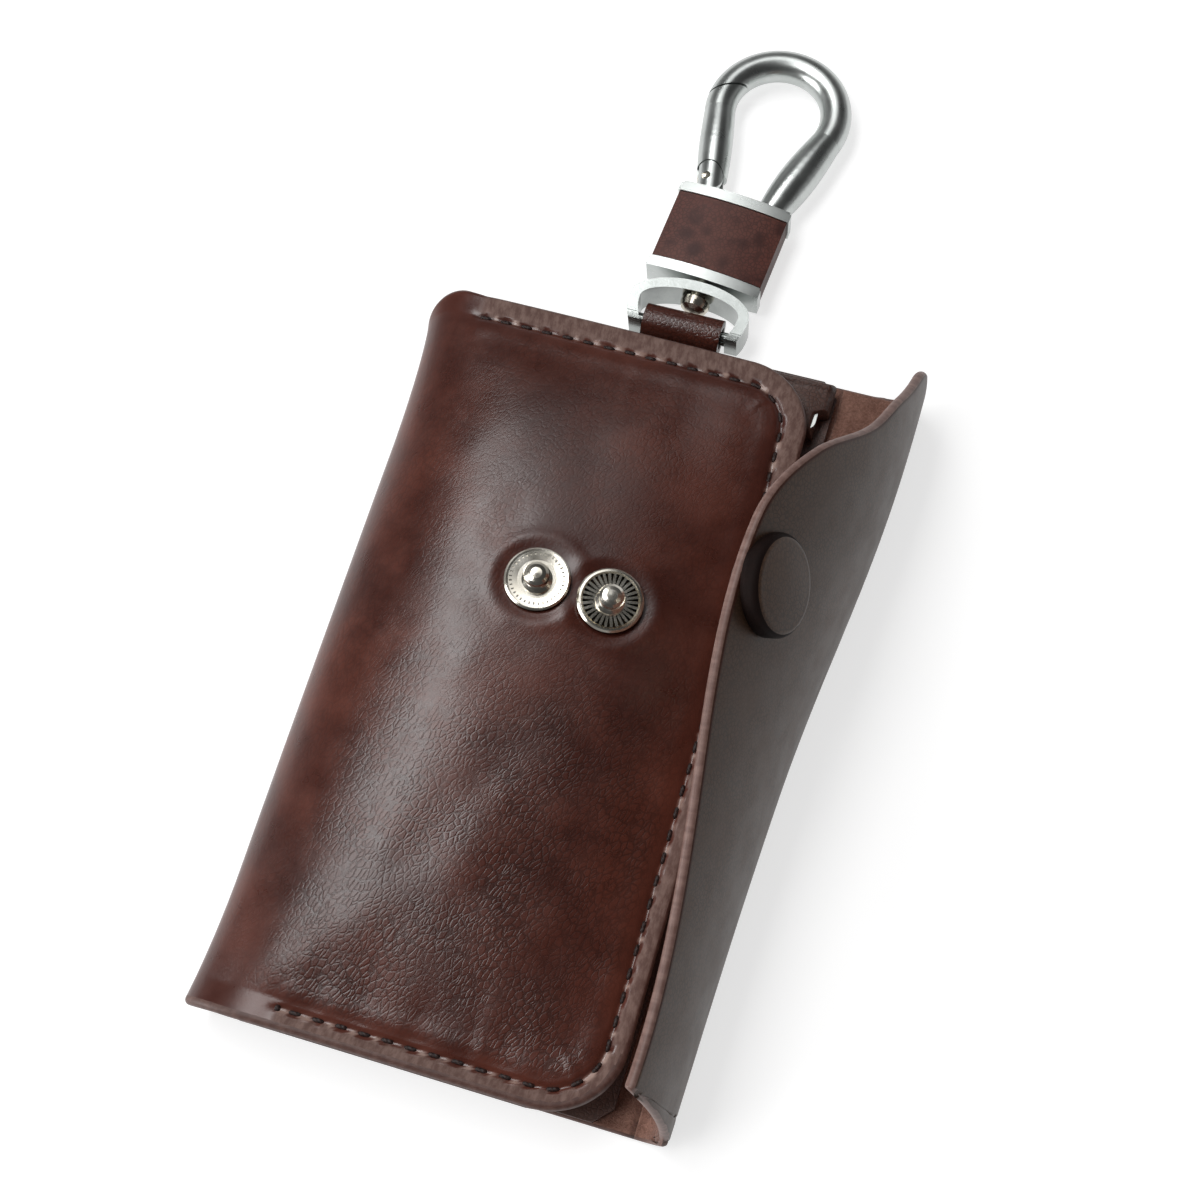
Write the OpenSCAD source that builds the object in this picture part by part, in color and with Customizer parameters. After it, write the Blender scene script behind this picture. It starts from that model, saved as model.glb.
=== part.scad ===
// Leather key case lying on its back, with a carabiner clip on a swivel ring.
// X runs across the case from the spine to the flap, Y along its length to the clip, Z up.
// The origin is on the flat back, below the middle of the case.

/* [Case] */
// Length of the case, top edge to bottom edge
case_l = 115; // [108:0.5:122]
// Height of the case at its middle
case_h = 16.2; // [15.8:0.1:17.2]
// Thickness of the outer leather
leather_t = 1.6; // [1.4:0.1:1.8]
// Thickness of the lining
lining_t = 1.0; // [0.8:0.1:1.1]
// Radius of the front panel's two corners
corner_r = 10.5; // [6:0.5:12]
// Width of the flat stitched border
border_w = 4; // [3:0.5:5]

/* [Flap] */
// Leather length from the fold to the widest part of the free edge
flap_wide = 51.7; // [50:0.1:54]
// Leather length from the fold to the free edge at the bottom
flap_narrow = 31; // [29:0.5:36]
// Radius of the flap's lean towards the case
flap_lean_r = 62; // [58:1:70]
// Leather length from the fold to the middle of the snap
snap_s = 43.8; // [43.4:0.1:44.2]
// Height of the snaps along the case, from its middle
snap_y = 10.5; // [8:0.5:14]

/* [Snaps] */
// Radius of a stud's flange
stud_r = 4.75; // [4.6:0.05:5.1]
// Height of a stud above the leather
stud_h = 3.1; // [2.9:0.1:3.2]
// Number of ribs on the ribbed stud
stud_ribs = 30; // [16:2:40]
// Radius of the leather-covered cap
cap_r = 6.75; // [6:0.25:7.5]

/* [Key bar] */
// Length of the bar that holds the key hooks
bar_l = 52; // [51.6:0.1:52.4]
// Distance between the pivots of two hooks
hook_pitch = 7.6; // [7.5:0.05:7.6]
// Distance from a hook's pivot to the middle of its loop
hook_l = 15; // [13:0.5:18]

/* [Clip] */
// Width of the leather-wrapped frame
frame_w = 18.3; // [17.8:0.1:19]
// Height of the frame along the clip
frame_h = 16.1; // [15:0.1:18]
// Thickness of the frame at its middle
frame_t = 6.4; // [6:0.1:6.4]
// Radius of the loop's round top, to the middle of the wire
loop_r = 9.3; // [9.2:0.1:9.8]
// Radius of the loop's wire
wire_r = 2.5; // [2.4:0.1:2.6]
// Lean of the hanging clip from the case's own direction, degrees
clip_lean = 5; // [0:0.5:6]

/* [Hidden] */
$fn = 48;

// Colours of the pieces, as the photograph shows them
brown = [0.27, 0.13, 0.11];
dark_brown = [0.23, 0.11, 0.09];
suede = [0.42, 0.31, 0.27];
nickel = [0.78, 0.78, 0.75];
chrome = [0.80, 0.82, 0.82];
steel = [0.66, 0.66, 0.64];

half_l = case_l / 2;
gap = 0.25;

// The case's cross-section: the spine is the leftmost point, the fold where the back ends
spine_x = -31.7;
spine_flare = 1.8;
flare_y = 28;
back_x0 = -26;
fold_x = -25;
flap_x = 30.7;
front_x1 = 27.6;
peak_x = -8;
edge_z_bottom = 12;
edge_z_top = 10.4;
edge_drop = 1.2;
edge_x = -20;
puff_h = case_h - (edge_z_bottom + edge_z_top) / 2;

// The front panel bulges over the keys, so it ends short of the back at the top
front_bottom = -58.1;
front_top = 54.5;
spine_mid_z = 5.6;
spine_mid_rise = 0.4;
spine_a_end = 12;
spine_a_mid = 24;
puff_end = front_x1 - border_w + 0.5;

// The flap's section: a flat stretch, a bend of a quarter turn and a slow lean
flat_bottom = 0.2;
flat_top = 6.0;
bend_bottom = 3.6;
bend_top = 5.2;
flap_turn = 90;
ear_s = 21;
ear_y = 64;
wide_y = 17;
narrow_y = -54;
chamfer_s = 1;
chamfer_slope = 7.6;
dip_y = 39;
dip_w = 9;
dip_s = 1.8;
wave_h = 0.9;
ear_round = 3;

// Where the two studs stand on the front panel
stud_plain_x = -2.6;
stud_ribbed_x = 8;

// The key bar and its hooks
lining_z = leather_t + lining_t + 0.2;
back_lining_t = lining_z - leather_t;
bar_x = 2.2;
bar_y = 51.2;
bar_w = 7.5;
bar_t = 0.8;
bar_z = 4.7;
bar_foot = 4.7;
bar_hole_in = 2.4;
hook_n = 6;
hook_y = 50.2;
hook_z = 3.2;
hook_t = 1.2;
hook_bore_r = 1.0;
hook_loop_r = 2.3;
hook_loop_in = 1.4;
hook_shank_w = 2.5;
rivet_r = 0.95;
bar_rivet_r = 1.2;

// The ring's bar and the clip's own frame, whose origin is the middle of the ring's bar
ring_x = 4.7;
ring_y = 59.9;
ring_z = 3.2;
ring_bar_r = 1.1;
ring_w = 19;
ring_h = 7.3;
ring_wide_y = 2.7;
ring_low = 9;
ring_wall = 1.7;
ring_band = 5.4;
foot_r = 2.6;
tab_x = 4.5;
tab_w = 12.2;
tab_t = 1.1;
tab_tail = 0.7;
swivel_r = 1.5;
frame_y0 = 7.7;
rail_h = 2.0;
step_h = 0.6;
step_d = 0.35;
wrap_t = 1.0;
loop_x = 0.5;
loop_y = 41.2;
loop_turn = 14.5;
nose_turn = 172;
pivot_x = -6;
pivot_y = frame_y0 + frame_h + 1.9;
ear_r = 2.7;
ear_gap = 1.15;
pin_r = 0.7;
nose_slant = 30;
nose_gap = 0.15;

function lerp(a, b, t) = a + (b - a) * t;
function smooth(t) = let (c = max(0, min(1, t))) c * c * (3 - 2 * c);

// Points of a line of sections: closer together near both ends of the case
function stations(count) = [for (i = [0:count]) -half_l * cos(180 * i / count)];

// Share of the full puff at a place along the case, none over the stitched border
function puff_along(y) = 1 - pow(min(1, abs(y) / (half_l - border_w)), 3);

// Height of the flat border's outer face: lower at the top, where there are no keys under it
function border_z(x, y) = lerp(edge_z_bottom, edge_z_top, (y + half_l) / case_l)
    - edge_drop * pow(max(0, x - edge_x) / (front_x1 - edge_x), 2);

// Leftmost point of the spine, which is pressed out at the top
function spine_left(y) = spine_x - spine_flare * pow(max(0, y - flare_y) / (half_l - flare_y), 2);

// Place of a station of the front panel along the case, and the station of a place
function front_y(y) = lerp(front_bottom, front_top, (y + half_l) / case_l);
function panel_y(y) = (y - front_bottom) / (front_top - front_bottom) * case_l - half_l;

// Height of the outer leather over a point of the case
function outer_z(x, y) =
    let (v = puff_along(y), a = lerp(spine_a_end, spine_a_mid, v), xc = spine_left(y) + a,
         top = border_z(x, y) + puff_h * v, mid = spine_mid_z + spine_mid_rise * v)
    x < xc ? mid + (top - mid) * sqrt(max(0, 1 - pow((xc - x) / a, 2)))
           : border_z(x, y) + puff_h * v * (1 - pow(min(1, max(0, x - peak_x) / (puff_end - peak_x)), 2.4));

// Right edge of the front panel, with its rounded corners
function front_edge(y, inset = 0) =
    let (d = max(0, abs(y) - (half_l - corner_r)))
    front_x1 - inset - corner_r + sqrt(max(0, corner_r * corner_r - d * d));

// Unit normal at point i of a line, to the left of its direction
function line_normal(pts, i) =
    let (a = pts[max(0, i - 1)], b = pts[min(len(pts) - 1, i + 1)], d = (b - a) / norm(b - a))
    [-d[1], d[0]];
function shifted(pts, d) = [for (i = [0:len(pts) - 1]) pts[i] + d * line_normal(pts, i)];

// A closed strip between two lines at distances near and far to the left of a line
function strip(pts, near, far) =
    let (a = shifted(pts, near), b = shifted(pts, far), n = len(pts))
    concat(a, [for (i = [n - 1:-1:0]) b[i]]);

// A solid skinned over sections of equal length, one for each station along Y. The first point of
// each line is at the station's place in ys, the last at its place in far.
module skin(sections, ys, far) {
    n = len(sections[0]);
    m = len(sections);
    half = n / 2;
    points = [for (j = [0:m - 1], i = [0:n - 1])
        let (p = sections[j][i], w = min(i, n - 1 - i) / (half - 1))
        [p[0], lerp(ys[j], far[j], w), p[1]]];
    sides = [for (j = [0:m - 2], i = [0:n - 1], k = [0:1])
        let (a = j * n + i, b = j * n + (i + 1) % n, c = a + n, d = b + n)
        k == 0 ? [a, b, d] : [a, d, c]];
    first = [for (i = [0:half - 2], k = [0:1])
        let (a = i, b = i + 1, c = n - 1 - i, d = n - 2 - i) k == 0 ? [a, d, b] : [a, c, d]];
    last = [for (f = first) [f[0] + (m - 1) * n, f[2] + (m - 1) * n, f[1] + (m - 1) * n]];
    polyhedron(points, concat(sides, first, last), convexity = 6);
}

// Outer line of the front panel at one station, from the spine fold to the right edge
function front_line(y, count, inset = 0) =
    let (x0 = fold_x + gap + inset, x1 = front_edge(y, inset))
    [for (i = [0:count]) let (x = lerp(x0, x1, i / count)) [x, outer_z(x, y)]];

// Outer line of the spine at one station, from the back's edge round to the front fold, or a few
// degrees short of it
function spine_line(y, count, short = 0) =
    let (v = puff_along(y), left = spine_left(y), a = lerp(spine_a_end, spine_a_mid, v), xc = left + a,
         mid = spine_mid_z + spine_mid_rise * v, top = border_z(fold_x, y) + puff_h * v,
         low = back_x0 - gap, stop = acos((xc - fold_x) / a) - short)
    concat([for (i = [0:count]) let (t = 90 * i / count)
                [low - (low - left) * sin(t), mid - mid * cos(t)]],
           [for (i = [1:count]) let (t = stop * i / count) [xc - a * cos(t), mid + (top - mid) * sin(t)]]);

// Slight wave of the flap's fold along the case
function flap_wave(y) = wave_h * (y > -8 ? sin(180 * (y - 15) / 46) : -cos(2 * (y + 8)));

// The flap's middle line: x, z and heading at a leather length s from the fold
function flap_flat(y) = lerp(flat_bottom, flat_top, (y + half_l) / case_l) + flap_wave(y);
function flap_bend(y) = lerp(bend_bottom, bend_top, (y + half_l) / case_l);
function bend_len(y) = flap_bend(y) * flap_turn * PI / 180;
function flap_at(s, y) =
    let (flat = flap_flat(y), r = flap_bend(y), bend = bend_len(y), z0 = leather_t / 2,
         h1 = min(flap_turn, max(0, (s - flat) / r * 180 / PI)),
         h2 = flap_turn + max(0, s - flat - bend) / flap_lean_r * 180 / PI,
         x1 = flap_x + min(s, flat) + r * sin(h1), z1 = z0 + r * (1 - cos(h1)))
    s <= flat + bend ? [x1, z1, h1]
        : [x1 + flap_lean_r * (sin(h2) - sin(flap_turn)), z1 - flap_lean_r * (cos(h2) - cos(flap_turn)), h2];
function flap_line(y, s0, s1, count) =
    [for (i = [0:count]) let (p = flap_at(lerp(s0, s1, i / count), y)) [p[0], p[1]]];

// Leather length to the flap's free edge: an ear at the top, an S-curve, a taper and a chamfer
function flap_free(y) =
    let (base = y > wide_y ? lerp(ear_s, flap_wide, smooth((ear_y - y) / (ear_y - wide_y)))
                           : lerp(flap_wide, flap_narrow, smooth((wide_y - y) / (wide_y - narrow_y))),
         dip = abs(y - dip_y) < dip_w ? dip_s * pow(cos(90 * (y - dip_y) / dip_w), 2) : 0,
         s = base - dip + 2.2 * flap_wave(y),
         cut = chamfer_s + chamfer_slope * (y + half_l), d = max(0, y - half_l + ear_round))
    min(s, cut) - (ear_round - sqrt(max(0, ear_round * ear_round - d * d)));

module back_panel() {
    color(brown) translate([back_x0, -half_l, 0]) cube([flap_x - back_x0 - gap, case_l, leather_t]);
}

// The lining's right edge leans in towards the bottom, and it is cut away over the tab and rivets
module back_lining() {
    left = back_x0 + 0.15;
    right_top = 30.2;
    right_bottom = 27.2;
    r = 2.5;
    end = half_l - 0.4;
    color(dark_brown)
    difference() {
        translate([0, 0, leather_t]) linear_extrude(back_lining_t) difference() {
            polygon([[left, -end], [right_bottom - r, -end], [right_bottom, -end + r],
                     [right_top, end - r], [right_top - r, end], [left, end]]);
            bar_holes() circle(bar_rivet_r + 0.05);
        }
        translate([0, 0, leather_t - 0.1]) linear_extrude(0.6) bar_holes() circle(2.4);
        translate([tab_x - tab_w / 2 - 0.1, bar_y - 8, leather_t - 0.1])
            cube([tab_w + 0.2, half_l, tab_tail + 0.15]);
    }
}

module bar_holes()
    for (side = [-1, 1]) translate([bar_x + side * (bar_l / 2 - bar_hole_in), bar_y]) children();

module spine_leather() {
    ys = stations(14);
    color(brown) skin([for (y = ys) strip(spine_line(y, 9), 0, -leather_t)], ys, [for (y = ys) front_y(y)]);
}

module spine_lining() {
    ys = stations(12);
    color(dark_brown)
    skin([for (y = ys) strip(spine_line(y, 8, 2), -leather_t - 0.05, -leather_t - lining_t)], ys,
         [for (y = ys) front_y(y)]);
}

module front_panel() {
    ys = stations(30);
    places = [for (y = ys) front_y(y)];
    color(brown) skin([for (y = ys) strip(front_line(y, 22), 0, -leather_t)], places, places);
}

module front_lining() {
    ys = stations(22);
    places = [for (y = ys) front_y(y)];
    color(dark_brown)
    skin([for (y = ys) strip(front_line(y, 16, 0.6), -leather_t - 0.05, -leather_t - lining_t)],
         places, places);
}

// The part of the flap that flexes when the flap turns
module flap_fold() {
    ys = stations(16);
    half_t = leather_t / 2;
    color(brown)
    skin([for (y = ys) strip(flap_line(y, 0, flap_flat(y) + bend_len(y) - gap, 10), -half_t, half_t)],
         ys, ys);
}

module flap_leather() {
    ys = stations(40);
    half_t = leather_t / 2;
    color(brown)
    skin([for (y = ys) let (s0 = flap_flat(y) + bend_len(y) + gap)
        strip(flap_line(y, s0, max(s0 + 0.5, flap_free(y)), 14), -half_t, half_t)], ys, ys);
}

// Puts a piece on the front panel, its own Z along the leather's normal
module on_front(x) {
    y = panel_y(snap_y);
    slope = (outer_z(x + 0.2, y) - outer_z(x - 0.2, y)) / 0.4;
    translate([x, snap_y, outer_z(x, y)]) rotate([0, -atan(slope), 0]) children();
}

// Puts a piece on the flap at the snap, its own Z out of the grain side
module on_flap() {
    p = flap_at(snap_s, snap_y);
    translate([p[0], snap_y, p[1]]) rotate([0, 180 - p[2], 0]) children();
}

// The post of a stud: a small foot, a neck and a ball head
module stud_post() {
    rotate_extrude() polygon([[0, 0.1], [2.35, 0.1], [2.2, 0.5], [1.65, 0.8], [1.35, 1.05], [1.3, 1.3],
                              [1.6, 1.55], [1.85, 1.9], [1.9, 2.25], [1.75, 2.6], [1.35, stud_h - 0.22],
                              [0.8, stud_h - 0.05], [0, stud_h]]);
}

// A smooth flange with a ring of coined ticks near its rim
module stud_plain() {
    ticks = 36;
    tick_r = 3.75;
    color(nickel) on_front(stud_plain_x) {
        difference() {
            rotate_extrude() polygon([[0, -0.2], [stud_r - 0.2, -0.2], [stud_r, 0.1], [stud_r - 0.05, 0.4],
                                      [stud_r - 0.35, 0.65], [4.1, 0.6], [2.8, 0.5], [0, 0.45]]);
            for (i = [0:ticks - 1]) rotate(360 * i / ticks)
                translate([tick_r - 0.2, -0.11, 0.4]) cube([0.4, 0.22, 1]);
        }
        stud_post();
    }
}

// A sunk flange with ribs from the post's foot to the raised rim
module stud_ribbed() {
    rib_w = 0.4;
    rim_r = 3.95;
    color(nickel) on_front(stud_ribbed_x) {
        rotate_extrude() polygon([[0, -0.2], [stud_r - 0.2, -0.2], [stud_r, 0.1], [stud_r, 0.5],
                                  [stud_r - 0.25, 0.75], [rim_r + 0.25, 0.8], [rim_r, 0.6],
                                  [rim_r - 0.1, 0.15], [0, 0.15]]);
        linear_extrude(0.6) for (i = [0:stud_ribs - 1]) rotate(360 * i / stud_ribs)
            translate([2.1, -rib_w / 2]) square([rim_r - 2, rib_w]);
        stud_post();
    }
}

// The tubes and caps behind the front panel that the two studs are clenched to
module stud_backs() {
    inside = leather_t + lining_t;
    color(steel) for (x = [stud_plain_x, stud_ribbed_x]) on_front(x)
        rotate_extrude() polygon([[0, -inside - 0.5], [3.8, -inside - 0.4], [4.2, -inside - 0.05],
                                  [1.6, -inside + 0.1], [1.6, -0.3], [0, -0.3]]);
}

module snap_cap() {
    low = leather_t / 2;
    color(brown) on_flap()
        rotate_extrude() polygon([[0, low - 0.4], [cap_r - 0.3, low - 0.4], [cap_r, low], [cap_r, 1.9],
                                  [cap_r - 0.3, 2.5], [cap_r - 1, 2.9], [cap_r - 2.6, 3.2], [0, 3.35]]);
}

// The female half of the snap, with its mouth towards the case
module snap_socket() {
    depth = 2.2;
    low = leather_t / 2 - 0.1;
    color(nickel) on_flap() mirror([0, 0, 1])
        rotate_extrude() polygon([[0, low], [5.2, low], [5.3, low + 0.4], [5.0, low + 0.9], [4.3, low + 1.2],
                                  [4.2, low + depth - 0.3], [3.9, low + depth], [3.3, low + depth],
                                  [3.1, low + depth - 0.3], [3.1, low + 0.7], [0, low + 0.7]]);
}

// Two spring wires that lie across the socket's mouth in its groove
module snap_spring() {
    wire = 1.9;
    color(steel) on_flap() mirror([0, 0, 1]) for (side = [-1, 1])
        translate([side * 2.75, wire / 2, leather_t / 2 + 1]) rotate([90, 0, 0])
            cylinder(r = 0.18, h = wire, $fn = 16);
}

// The bar that the hooks hang from: a web over the hooks, one wall and two riveted feet
module key_bar() {
    x0 = bar_x - bar_l / 2;
    color(chrome) difference() {
        union() {
            translate([0, 0, bar_z]) linear_extrude(bar_t) bar_outline();
            intersection() {
                translate([0, 0, lining_z]) linear_extrude(bar_z - lining_z + 0.1) bar_outline();
                for (x = [x0, x0 + bar_l - bar_foot])
                    translate([x, bar_y - bar_w, lining_z - 1]) cube([bar_foot, 2 * bar_w, 9]);
            }
            translate([x0 + 2, bar_y + bar_w / 2 - bar_t, lining_z])
                cube([bar_l - 4, bar_t, bar_z - lining_z + 0.1]);
        }
        for (i = [1:hook_n]) translate([hook_x(i), hook_y, 0]) cylinder(r = rivet_r + 0.02, h = 9);
        translate([0, 0, lining_z - 1]) linear_extrude(9) bar_holes() circle(bar_rivet_r + 0.05);
    }
}

module bar_outline() {
    r = 1.5;
    x0 = bar_x - bar_l / 2 + r;
    y0 = bar_y - bar_w / 2 + r;
    for (x = [x0, x0 + bar_l - 2 * r], y = [y0, y0 + bar_w - 2 * r]) translate([x, y]) circle(r);
    translate([x0 - r, y0]) square([bar_l, bar_w - 2 * r]);
    translate([x0, y0 - r]) square([bar_l - 2 * r, bar_w]);
}

module bar_rivets() {
    top = bar_z + bar_t;
    color(nickel) bar_holes()
        rotate_extrude() polygon([[0, leather_t], [2.3, leather_t], [2.3, leather_t + 0.4],
                                  [bar_rivet_r, leather_t + 0.45], [bar_rivet_r, top], [2.1, top],
                                  [2.0, top + 0.35], [1.3, top + 0.7], [0, top + 0.8]]);
}

function hook_x(i) = bar_x + (i - (hook_n + 1) / 2) * hook_pitch;

module hook_rivets() {
    top = bar_z + bar_t;
    color(nickel) for (i = [1:hook_n]) translate([hook_x(i), hook_y, 0])
        rotate_extrude() polygon([[0, lining_z], [1.7, lining_z], [1.7, hook_z - 0.1],
                                  [rivet_r, hook_z - 0.1], [rivet_r, top], [1.6, top], [1.5, top + 0.3],
                                  [0.9, top + 0.6], [0, top + 0.65]]);
}

// A stamped hook: an eye on the rivet, a waisted shank and a loop that is open at one side
module key_hook(i) {
    eye = 1.9;
    mouth = 40;
    color(chrome) translate([hook_x(i), hook_y - hook_l, hook_z]) linear_extrude(hook_t) difference() {
        union() {
            translate([0, hook_l]) circle(eye);
            translate([-0.8, hook_loop_in + 0.3]) square([1.6, hook_l - hook_loop_in - 0.9]);
            translate([-hook_shank_w / 2, hook_loop_r - 0.5]) square([hook_shank_w, 3.4]);
            circle(hook_loop_r);
        }
        translate([0, hook_l]) circle(hook_bore_r);
        circle(hook_loop_in);
        rotate(20) polygon([[0.6, 0.3], [5, 5 * sin(mouth)], [5, -5 * sin(mouth)], [0.6, -0.3]]);
        offset(delta = 0.05) hook_strip();
    }
}

// Outline of the spring strip on the right side of a hook's shank, from the loop's middle
module hook_strip() {
    x = hook_shank_w / 2;
    t = 0.3;
    polygon([[x, hook_loop_r + 2.7], [x, hook_loop_r - 0.5], [x + 0.55, -0.5], [x + 0.85, -0.4],
             [x + t, hook_loop_r - 0.4], [x + t, hook_loop_r + 2.7]]);
}

// A strip of spring steel on the shank's side that closes the loop's open side
module hook_spring(i) {
    color(steel) translate([hook_x(i), hook_y - hook_l, hook_z + 0.2])
        linear_extrude(hook_t - 0.4) hook_strip();
}

// The strap that is folded round the ring's bar, its skived tail held between leather and lining
module ring_tab() {
    r_in = ring_bar_r + 0.6;
    r_out = r_in + tab_t;
    neck_y = half_l + 0.05;
    color(brown) translate([tab_x - tab_w / 2, 0, 0]) rotate([90, 0, 90]) linear_extrude(tab_w) {
        difference() {
            union() {
                translate([ring_y, ring_z]) circle(r_out);
                polygon([[neck_y, leather_t], [ring_y, ring_z - r_out], [ring_y, ring_z + r_out],
                         [neck_y, leather_t + tab_tail + 0.9]]);
            }
            translate([ring_y, ring_z]) circle(r_in);
        }
        translate([bar_y - 7, leather_t]) square([neck_y - bar_y + 7.1, tab_tail]);
    }
}

// Puts a piece in the hanging clip's own frame: origin at the ring's bar, Y along the clip
module in_clip() translate([ring_x, ring_y, ring_z]) rotate([0, 0, -clip_lean]) children();

// Turns a piece so that its own Z lies along the clip
module along_clip(y) translate([0, y, 0]) rotate([-90, 0, 0]) children();

// The ring's line at a depth d: an oval arch over its widest place, a longer one below it
function ring_line(d, count = 80) =
    let (w = ring_w / 2 - d, up = ring_h - ring_wide_y - d, down = ring_low - d)
    [for (i = [0:count - 1]) let (a = 360 * i / count)
        [w * cos(a), ring_wide_y + (a < 180 ? up : down) * sin(a)]];

// A wide band bent over a straight round bar, with a bore at its top for the swivel rivet
module swivel_ring() {
    w = ring_w / 2;
    color(chrome) translate([ring_x, ring_y, ring_z]) difference() {
        union() {
            translate([0, 0, -ring_band / 2]) linear_extrude(ring_band) difference() {
                intersection() {
                    polygon(ring_line(0));
                    translate([-w - 1, 0]) square([2 * w + 2, ring_h + 1]);
                }
                polygon(ring_line(ring_wall));
            }
            intersection() {
                rotate([0, 90, 0]) cylinder(r = foot_r, h = 2 * w, center = true);
                translate([0, 0, -ring_band / 2]) linear_extrude(ring_band) difference() {
                    intersection() {
                        polygon(ring_line(0));
                        translate([-w - 1, -ring_bar_r]) square([2 * w + 2, ring_bar_r + 1]);
                    }
                    polygon(ring_line(ring_wall));
                }
            }
            rotate([0, 90, 0]) cylinder(r = ring_bar_r, h = 2 * w - 2.2, center = true);
        }
        rotate([0, 0, -clip_lean]) along_clip(ring_wide_y) cylinder(r = swivel_r + 0.1, h = ring_h);
    }
}

// The rivet that carries the clip: its head is inside the ring, its shank runs into the frame
module swivel_rivet() {
    inner = ring_h - ring_wall;
    color(chrome) in_clip() along_clip(0)
        rotate_extrude() polygon([[0, inner - 2.4], [1.2, inner - 2.3], [2.0, inner - 1.8],
                                  [2.3, inner - 1.1], [2.3, inner - 0.5], [swivel_r, inner - 0.5],
                                  [swivel_r, frame_y0 + rail_h], [0, frame_y0 + rail_h]]);
}

// Lens-shaped section of the clip's frame, in X and Z, shrunk all round by d
module frame_section(d) {
    w = frame_w / 2 - d;
    t = frame_t / 2 - d;
    edge = frame_t / 2 - 0.8 - d;
    bulge_r = (w * w + pow(t - edge, 2)) / (2 * (t - edge));
    intersection() {
        translate([0, t - bulge_r]) circle(bulge_r, $fn = 360);
        translate([0, bulge_r - t]) circle(bulge_r, $fn = 360);
        square([2 * w, 2 * t + 1], center = true);
    }
}

// A slice of the frame from y0 to y1 along the clip
module frame_slice(y0, y1, d = 0)
    translate([0, y1, 0]) rotate([90, 0, 0]) linear_extrude(y1 - y0) frame_section(d);

// The loop's round top as a bent wire between two turns, in degrees
module loop_wire(start, stop)
    translate([loop_x, loop_y, 0]) rotate([0, 0, start])
        rotate_extrude(angle = stop - start, $fn = 96) translate([loop_r, 0]) circle(wire_r, $fn = 32);

// One leg of the loop, swollen over its foot and let into the wire; side 1 is the right leg
module loop_leg(side, foot_y, foot_r, flare) {
    r = wire_r - 0.02;
    let_in = 0.3;
    count = 12;
    top = [loop_x + side * loop_r * cos(loop_turn), loop_y - loop_r * sin(loop_turn)];
    reach = (top[1] - foot_y) / cos(loop_turn);
    foot = [top[0] - side * reach * sin(loop_turn), foot_y];
    translate([foot[0], foot[1], 0]) rotate([0, 0, -side * loop_turn]) rotate([-90, 0, 0])
        rotate_extrude($fn = 32)
            polygon(concat([[0, 0]], [for (i = [0:count]) let (t = i / count)
                        [lerp(foot_r, r, t) + flare * sin(180 * pow(t, 0.9)), reach * t]],
                    [[r, reach + let_in], [0, reach + let_in]]));
}

// The half of space above (side 1) or below (side -1) the slanted joint of nose and gate
module nose_half(side)
    translate([loop_x + loop_r * cos(nose_turn), loop_y + loop_r * sin(nose_turn), 0])
        rotate([0, 0, nose_slant]) translate([0, side * (4 - nose_gap), 0]) cube([14, 8, 14], center = true);

// One of the frame's two rails: full at its lower side, stepped in at its upper side
module rail(y) {
    frame_slice(y, y + rail_h - step_h);
    frame_slice(y + rail_h - step_h, y + rail_h, step_d);
}

// One casting: two rails on a core, the loop with its nose, and two ears for the gate
module clip_body() {
    top = frame_y0 + frame_h;
    color(chrome) in_clip() difference() {
        union() {
            rail(frame_y0);
            frame_slice(frame_y0 + rail_h, top - rail_h, wrap_t + 0.1);
            rail(top - rail_h);
            loop_leg(1, top - 1, wire_r - 0.35, 0.72);
            loop_wire(-loop_turn, nose_turn + 20);
            intersection() {
                loop_leg(-1, top - 1, wire_r - 0.1, 0);
                for (z = [ear_gap, -ear_gap - 3]) translate([0, 0, z]) linear_extrude(3) {
                    translate([pivot_x, pivot_y]) circle(ear_r);
                    translate([pivot_x - 4, top - 1]) square([4, pivot_y - top + 1]);
                }
            }
        }
        nose_half(-1);
        translate([pivot_x, pivot_y, -5]) cylinder(r = pin_r, h = 10);
        along_clip(frame_y0 - 1) cylinder(r = swivel_r + 0.02, h = rail_h + 1);
    }
}

// The leather band round the frame's core
module clip_wrap() {
    y0 = frame_y0 + rail_h + 0.05;
    y1 = frame_y0 + frame_h - rail_h - 0.05;
    color(brown) in_clip() difference() {
        frame_slice(y0, y1, 0.25);
        frame_slice(y0 - 1, y1 + 1, wrap_t + 0.05);
    }
}

// The sprung leg of the loop: an eye between the ears, a leg and a curved end that meets the nose
module gate() {
    eye_z = -1;
    eye_h = 1.1;
    color(chrome) in_clip() difference() {
        union() {
            difference() {
                union() {
                    loop_leg(-1, pivot_y + 0.8, wire_r - 0.1, 0.25);
                    loop_wire(nose_turn - 20, 180 + loop_turn);
                }
                nose_half(1);
            }
            translate([pivot_x, pivot_y, eye_z]) {
                cylinder(r = 1.5, h = eye_h);
                translate([-1, 0, 0]) cube([3, 4, eye_h]);
            }
        }
        difference() {
            translate([pivot_x, pivot_y, -5]) cylinder(r = ear_r + 0.1, h = 10);
            translate([pivot_x - 4, pivot_y - 4, eye_z]) cube([8, 8, eye_h]);
        }
        translate([pivot_x, pivot_y, -5]) cylinder(r = pin_r + 0.05, h = 10);
    }
}

module gate_pin() {
    half = 2.15;
    color(nickel) in_clip() translate([pivot_x, pivot_y, 0]) {
        translate([0, 0, -half]) cylinder(r = pin_r, h = 2 * half);
        for (side = [0, 1]) mirror([0, 0, side]) translate([0, 0, half])
            rotate_extrude() polygon([[0, 0], [pin_r, 0], [pin_r - 0.2, 0.3], [0, 0.4]]);
    }
}

// The small torsion spring beside the gate's eye, as the sleeve that its turns fill
module gate_spring() {
    color(steel) in_clip() translate([pivot_x, pivot_y, 0.2]) difference() {
        cylinder(r = 1.4, h = 0.85);
        translate([0, 0, -1]) cylinder(r = pin_r + 0.15, h = 3);
    }
}

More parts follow.
